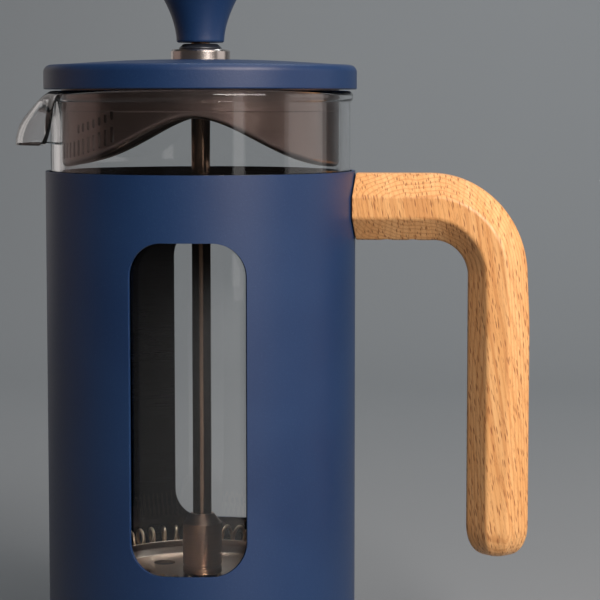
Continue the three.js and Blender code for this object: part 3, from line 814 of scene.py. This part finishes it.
# half of the section at an angle from the lip's middle: from the axis, up the outside, down the inside
def beakerSection(degrees):
    g = glassShape
    low, high = boxMm("glass_beaker")
    radius, rim = g["radius"], high.z
    away = abs(degrees)
    fold = 1 - easeStep((away - g["foldFull"]) / (g["foldSpan"] - g["foldFull"]))
    reach = 1 - easeStep(away / g["reachSpan"])
    channel = 1 - easeStep(away / g["channelSpan"])
    inner = radius - g["wall"]
    edge = lerp(radius + g["beadOut"], g["reach"], reach) + g["fullness"] * fold * (1 - reach)
    drop = lerp(g["beadRound"], g["drop"], fold)
    dip = channel * g["channel"]

    def over(t):
        c = math.cos(t * math.pi / 2)
        r = lerp(radius - 0.6, edge, math.sin(t * math.pi / 2) ** 1.1)
        return Vector((r, rim - dip * c * c - drop * max(0, 1 - c) ** 0.9))

    def under(t):  # a round bead on the plain rim, a sheet of even thickness under the lip
        at = lerp(0.30, 1, t)
        along = (over(min(at + 0.01, 1)) - over(at - 0.01)).normalized()
        onLip = over(at) + Vector((along.y, -along.x)) * g["sheet"]
        roll = math.pi / 2 * t
        onBead = Vector((lerp(radius, edge, math.sin(roll)), rim - lerp(drop, g["bead"], math.cos(roll))))
        point = onBead.lerp(onLip, fold)
        return (max(point.x, radius + 0.01), point.y)

    underside = [under(i / 13) for i in range(14)]
    section = rounded([(0, low.z), (radius, low.z, g["heel"]), (radius, rim - g["start"])], steps=8)
    section += [(radius, lerp(rim - g["start"], underside[0][1] - 0.5, i / 4)) for i in range(1, 5)]
    section += underside
    end, last = Vector(over(1)), Vector(underside[-1])
    middle, out = (end + last) / 2, Vector((end.y - last.y, last.x - end.x)) * 0.5
    for i in range(1, 5):  # the lip's round edge
        a = math.pi * i / 5
        section.append(tuple(middle - (end - last) / 2 * math.cos(a) - out * math.sin(a)))
    section += [tuple(over(1 - i / 17)) for i in range(17)]
    top, soft = rim - dip, 1.1  # the inner edge is softened over this height
    section += [(radius - g["wall"] * 0.45, top), (radius - g["wall"] * 0.7, top - 0.08),
                (inner + 0.3, top - 0.35), (inner + 0.08, top - 0.7), (inner, top - soft)]
    section += [(inner, rim - lerp(dip + soft, g["start"], i / 4)) for i in range(1, 5)]
    section += rounded([(inner, rim), (inner, low.z + g["floor"], 3.0), (0, low.z + g["floor"])], steps=6)[1:]
    return section


def makeBeaker(glass):
    lip, rest = glassShape["lipSteps"], glassShape["roundSteps"]
    angles = list(range(-lip, lip + 1)) + [lip + (360 - 2 * lip) * i / rest for i in range(1, rest)]
    loops = []
    for a in angles:
        turn = math.radians(180 + a)
        section = beakerSection(a - 360 if a > 180 else a)
        loops.append([(r * math.cos(turn), r * math.sin(turn), z) for r, z in section])
    piece = skinPiece("glassBeaker", loops, True, sharp=80, even=False)
    return fit(piece, "beaker", glass, "glass_beaker")


# lid

lidShape = {
    "shoulder": 1.7,
    "side": 5.55,
    "recess": 32.6,
    "ceiling": 3.2,
    "edge": 0.35,
    "bore": 4.7,
    "domeSteps": 12,
}


def makeLidCover(paint):
    s = lidShape
    low, high = boxMm("lid_cover")
    r, z = high.y, low.z
    seatRadius = radiusOf("lid_ferrule") + 0.25
    seat = boxMm("lid_ferrule")[0].z - 0.3
    crown, shoulder, ceiling = high.z, z + s["side"], z + s["ceiling"]
    top = []
    for i in range(1, s["domeSteps"] + 1):
        t = i / s["domeSteps"]
        x = lerp(r - s["shoulder"] - 0.4, seatRadius + 0.25, t)
        top.append((x, shoulder + (crown - shoulder) * math.sin(t * math.pi / 2)))
    outline = [(s["recess"], z, 0.25), (r, z, s["edge"]), (r, shoulder, s["shoulder"])] + top
    outline += [(seatRadius, crown, 0.2), (seatRadius, seat), (s["bore"], seat), (s["bore"], ceiling),
                (s["recess"], ceiling, 1.0)]
    piece = turnedPiece("lidCover", rounded(outline, closed=True, steps=7), steps=180)
    return fit(piece, "lid", paint, "lid_cover")


skirtShape = {
    "wall": 0.65,
    "deep": 17.8,  # how far the lobes reach below the lid
    "shallow": 6.4,
    "spread": 34.2,
    "power": 1.87,
    "turn": 4.5,  # the strainer's middle, from the lip's middle
    "bead": 5.0,  # where the wall steps in, below the lid
    "step": 0.10,
    "roll": 1.2,  # the lower edge, rolled inwards
    "bore": 4.75,
    "top": 0.7,  # thickness of the flat top
    "pitch": 3.14,  # degrees from slot to slot
    "span": 57,
    "slotWide": 0.8,
    "slotEdge": 1.6,
    "slotTall": 3.6,
    "bridge": 1.4,
    "short": 2.0,
    "shortFrom": 35,
    "columns": 240,
}


def skirtDepth(degrees):  # from the strainer's middle
    s = skirtShape
    fromCrest = abs(90 - abs(degrees))
    return lerp(s["deep"], s["shallow"], math.exp(-((fromCrest / s["spread"]) ** s["power"])))


# (angle, bottom, top) of each slot, below the lid: tall ones, and short ones above them towards the ends
def slotPlaces():
    s = skirtShape
    most = int(s["span"] / s["pitch"])
    places = []
    for i in range(-most, most + 1):
        degrees = i * s["pitch"]
        bottom = skirtDepth(degrees) - s["slotEdge"]
        top = bottom - s["slotTall"]
        places.append((degrees, bottom, top))
        if abs(degrees) > s["shortFrom"]:
            places.append((degrees, top - s["bridge"], top - s["bridge"] - s["short"]))
    return places


def slotTools(lidLow, radius):
    s = skirtShape
    half, steps = s["slotWide"] / 2, 8
    turns = [math.pi * k / steps for k in range(steps + 1)]
    arc = [(half * math.cos(a), half * math.sin(a)) for a in turns]
    points, faces = [], []
    for degrees, bottom, top in slotPlaces():
        turn = Matrix.Rotation(math.radians(180 + s["turn"] + degrees), 3, "Z")
        ring = [(y, lidLow - top - half + z) for y, z in arc]
        ring += [(-y, lidLow - bottom + half - z) for y, z in arc]
        start, size = len(points), len(ring)
        end = start + size
        for x in (radius - 2, radius + 2):
            points += [turn @ Vector((x, y, z)) for y, z in ring]
        for k in range(size):
            after = (k + 1) % size
            faces.append((start + k, start + after, end + after, end + k))
        faces += [tuple(range(start, end)), tuple(reversed(range(end, end + size)))]
    return newPiece("tool", points, faces)


def makeSkirt(steel):
    s = skirtShape
    topZ = boxMm("lid_skirt")[1].z
    lidLow = boxMm("lid_cover")[0].z
    outer = radiusOf("lid_skirt")
    inner = outer - s["wall"]
    narrow = outer - s["step"]
    within = narrow - s["roll"] - 0.2
    bead = lidLow - s["bead"]
    ceiling = topZ - s["top"]
    loops = []
    for i in range(s["columns"]):
        degrees = 360 * i / s["columns"] - 180
        turn = math.radians(180 + s["turn"] + degrees)
        edge = lidLow - skirtDepth(degrees)
        outline = [(within, edge, 0.1), (narrow, edge, s["roll"]), (narrow, bead - 0.15, 0.1),
                   (outer, bead + 0.15, 0.1), (outer, topZ, 0.5), (s["bore"], topZ), (s["bore"], ceiling),
                   (inner, ceiling, 0.4), (inner, bead + 0.1, 0.1), (narrow - s["wall"], bead - 0.2, 0.1),
                   (narrow - s["wall"], edge + 0.5, 0.5), (within, edge + 0.5, 0.1)]
        section = rounded(outline, closed=True, steps=3)
        loops.append([(r * math.cos(turn), r * math.sin(turn), z) for r, z in section])
    piece = skinPiece("lidSkirt", loops, True, sharp=45, even=False)
    cutPiece(piece, [slotTools(lidLow, outer)])
    return fit(piece, "lid", steel, "lid_skirt")


hubShape = {"bore": 4.7, "lip": 5.6, "step": 0.12, "rodHole": 2.5, "neck": 4.4, "shoulder": 3.9}


def makeLidHub(steel, nylon, plainSteel):
    s = hubShape
    low, high = boxMm("lid_ferrule")
    r, seat = radiusOf("lid_ferrule"), high.z - s["step"]
    outline = [(s["bore"], low.z), (r, low.z), (r, high.z - 0.45, 0.12), (r - 0.42, high.z, 0.15),
               (s["lip"], high.z, 0.1), (s["lip"] - 0.15, seat), (s["bore"], seat)]
    ferrule = turnedPiece("lidFerrule", rounded(outline, closed=True, steps=4), steps=96)
    fit(ferrule, "lid_hub", steel, "lid_ferrule")
    under = high.z + 0.05
    low, high = boxMm("guide_bush")
    cap, hole, neck = radiusOf("guide_bush"), s["rodHole"], s["neck"]
    outline = [(hole, low.z, 0.2), (neck, low.z, 0.3), (neck, under, 0.1), (cap, under, 0.2),
               (cap - 0.15, under + 0.45, 0.4), (s["shoulder"], high.z, 0.5), (hole, high.z, 0.2)]
    bush = turnedPiece("guideBush", rounded(outline, closed=True, steps=5), steps=72)
    fit(bush, "lid_hub", nylon, "guide_bush")
    finishNode("lid_retaining_nut", plainSteel)


# plunger

knobShape = {
    "foot": 5.5,
    "flare": 0.0459,  # the side is foot + flare * height ** power
    "power": 1.815,
    "flareTop": 15.5,
    "edge": 2.0,
    "dome": 0.6,
    "bore": 3.6,  # the hole for the rod, from below
    "depth": 11,
}


def makeKnob(paint):
    k = knobShape
    bottom = boxMm("knob")[0].z
    slope = math.atan(k["flare"] * k["power"] * k["flareTop"] ** (k["power"] - 1))

    def flareRadius(h):
        return k["foot"] + k["flare"] * h ** k["power"]

    flank = [(flareRadius(h), h) for h in [1 + (k["flareTop"] - 1) * i / 24 for i in range(25)]]
    centreR = flank[-1][0] - k["edge"] * math.cos(slope)
    centreH = k["flareTop"] + k["edge"] * math.sin(slope)
    rim = []
    for i in range(1, 15):
        a = lerp(-slope, math.radians(86), i / 14)
        rim.append((centreR + k["edge"] * math.cos(a), centreH + k["edge"] * math.sin(a)))
    crown = centreH + k["edge"] + k["dome"]
    capR, capH = rim[-1]
    turns = [math.pi / 2 * i / 8 for i in range(1, 8)]
    cap = [(capR * math.cos(a), capH + (crown - capH) * math.sin(a)) for a in turns]
    foot = rounded([(k["bore"], 0, 0.3), (k["foot"] + 0.02, 0, 0.55), (flank[0][0], 1)], steps=6)[1:-1]
    outline = [(0, k["depth"]), (k["bore"], k["depth"]), (k["bore"], 0.3)]
    outline += foot + flank + rim + cap + [(0, crown)]
    piece = turnedPiece("knobBody", [(r, bottom + h) for r, h in outline], steps=144, sharp=50)
    return fit(piece, "plunger", paint, "knob")


threadShape = {"length": 9.5, "turns": 14, "pitch": 0.6, "root": 0.35, "crest": 0.05}


def makeRod(steel, brass):
    t = threadShape
    low, high = boxMm("plunger_rod")
    r = high.x
    start = high.z - t["length"]
    outline = [(0, low.z), (r, low.z, 0.3), (r, start, 0.1), (r - 0.18, start + 0.3)]
    for i in range(t["turns"]):  # the thread, hidden in the knob
        z = start + 0.5 + i * t["pitch"]
        outline += [(r - t["root"], z), (r - t["crest"], z + t["pitch"] / 2)]
    outline += [(r - t["root"], high.z - 0.3), (r - 0.7, high.z), (0, high.z)]
    rod = turnedPiece("plungerRod", rounded(outline), steps=48, sharp=30)
    fit(rod, "plunger", steel, "plunger_rod")
    finishNode("knob_insert", brass)


filterShape = {
    "hubBore": 2.3,
    "grooveStart": 1.5,  # the hub's groove, from its lower end
    "groove": 0.25,
    "turns": 56,
    "ring": 28.85,
    "coil": 2.8,
    "wire": 0.45,
    "perTurn": 18,
    "sides": 8,
    "plateBore": 2.5,
    "plate": 0.6,  # thickness
    "vents": 8,
    "ventRadius": 2.6,
    "ventRing": 0.6,  # how far out, as a part of the radius
    "screen": 0.12,
}


def makeHub(steel):
    bore, deep = filterShape["hubBore"], filterShape["groove"]
    low, high = boxMm("filter_hub")
    r, groove = high.x, low.z + filterShape["grooveStart"]
    outline = [(bore, low.z), (r, low.z, 0.3), (r, groove, 0.1), (r - deep, groove + 0.2, 0.1),
               (r - deep, groove + 0.5, 0.1), (r, groove + 0.7, 0.1), (r, high.z - 2.3, 0.15),
               (r - 0.5, high.z - 1.75, 0.5), (bore + 0.4, high.z, 0.2), (bore, high.z)]
    hub = turnedPiece("filterHub", rounded(outline, closed=True), steps=72)
    fit(hub, "plunger", steel, "filter_hub")


def makeCoil(steel):
    c = filterShape
    low, high = boxMm("coil_spring")
    middle = (low.z + high.z) / 2
    count = c["turns"] * c["perTurn"]
    sides = [2 * math.pi * (j + 0.5) / c["sides"] for j in range(c["sides"])]

    def centre(i):
        around = 2 * math.pi * i / count
        twist = around * c["turns"]
        r = c["ring"] + c["coil"] * math.cos(twist)
        return Vector((r * math.cos(around), r * math.sin(around), middle + c["coil"] * math.sin(twist)))

    loops = []
    for i in range(count):
        around = 2 * math.pi * i / count
        here = centre(i)
        along = (centre(i + 1) - centre(i - 1)).normalized()
        out = here - Vector((c["ring"] * math.cos(around), c["ring"] * math.sin(around), middle))
        out = (out - along * out.dot(along)).normalized()
        side = along.cross(out)
        loops.append([here + (out * math.cos(a) + side * math.sin(a)) * c["wire"] for a in sides])
    coil = skinPiece("coilSpring", loops, True, even=False)
    return fit(coil, "plunger", steel, "coil_spring")


def makePlates(steel, woven):
    f = filterShape
    bore, thick = f["plateBore"], f["plate"]
    low, high = boxMm("spring_plate")
    r, z = (high.y - low.y) / 2, low.z
    outline = [(bore, z), (r - 1.9, z, 0.8), (r, z + 1.9, 0.8), (r, high.z, 0.25), (r - thick, high.z, 0.25),
               (r - thick, z + 2.1, 0.6), (r - 2.1, z + thick, 0.6), (bore, z + thick)]
    plate = turnedPiece("springPlate", rounded(outline, closed=True, steps=4), steps=120)
    tools = []
    for i in range(f["vents"]):
        a = 2 * math.pi * i / f["vents"]
        x, y = f["ventRing"] * r * math.cos(a), f["ventRing"] * r * math.sin(a)
        tools.append(cylinderTool(x, y, z - 1, z + 1.5, f["ventRadius"], 32))
    cutPiece(plate, tools)
    fit(plate, "plunger", steel, "spring_plate")
    low, high = boxMm("mesh_screen")
    r, flat = high.y, high.z - f["screen"]
    outline = [(bore, low.z), (r, low.z, 0.15), (r, high.z, 0.15), (r - 1.2, high.z, 0.1), (r - 1.5, flat),
               (bore, flat)]
    screen = turnedPiece("meshScreen", rounded(outline, closed=True, steps=3), steps=144)
    fit(screen, "plunger", woven, "mesh_screen")
    finishNode("cross_plate", steel)
    finishNode("filter_stud", steel)


# stage

def makeStage():
    f = Finish("paleFloor")
    cloud = f.noise(f.place(), scale=0.01, detail=3)
    tone = f.mix(cloud, tuple(0.97 * c for c in studio["floor"]), studio["floor"])
    floorMaterial = f.surface({"Base Color": tone, "Roughness": 0.75})
    reach, curve, back = studio["floorReach"], studio["wallCurve"], studio["wallDistance"]
    turns = [math.pi / 2 * i / 16 for i in range(1, 17)]
    rows = [(-reach, 0), (back - curve, 0)]
    rows += [(back - curve + curve * math.sin(a), curve - curve * math.cos(a)) for a in turns]
    rows.append((back, studio["wallHeight"]))
    points = [(x, y, z) for y, z in rows for x in (-reach, reach)]
    faces = [(2 * i, 2 * i + 1, 2 * i + 3, 2 * i + 2) for i in range(len(rows) - 1)]
    floor = newPiece("studioFloor", points, faces)
    floor.data.materials.append(floorMaterial)


print("stage: camera and studio")
makeCamera()
makeLights()
makeStage()

print("finishes")
paintFinish = navyFinish("navyPowderCoat", 0.5)
lidFinish = navyFinish("navyLid", 0.7)
litBrightSteel = steelFinish("litBrightSteel")
shadedSkirtSteel = steelFinish("shadedSkirtSteel")
shadedRodSteel = steelFinish("shadedRodSteel")
ferruleSteel = steelFinish("ferruleSteel")
blackRubber = rubberFinish()

print("housing")
makeSleeve(paintFinish, steelFinish("shadedInnerSteel"))
makeFoot(blackRubber, litBrightSteel)
makeHandle(beechFinish())
finishNode("handle_gasket", blackRubber)
for name in ("handle_bracket", "handle_screw_inner", "handle_screw_outer"):
    finishNode(name, litBrightSteel)

print("beaker")
makeBeaker(glassFinish())

print("lid")
makeLidCover(lidFinish)
makeSkirt(shadedSkirtSteel)
makeLidHub(ferruleSteel, nylonFinish(), litBrightSteel)

print("plunger")
makeKnob(lidFinish)
makeRod(shadedRodSteel, brassFinish())
makeHub(steelFinish("shadedHubSteel"))
makeCoil(steelFinish("litSpringSteel"))
makePlates(litBrightSteel, screenFinish())
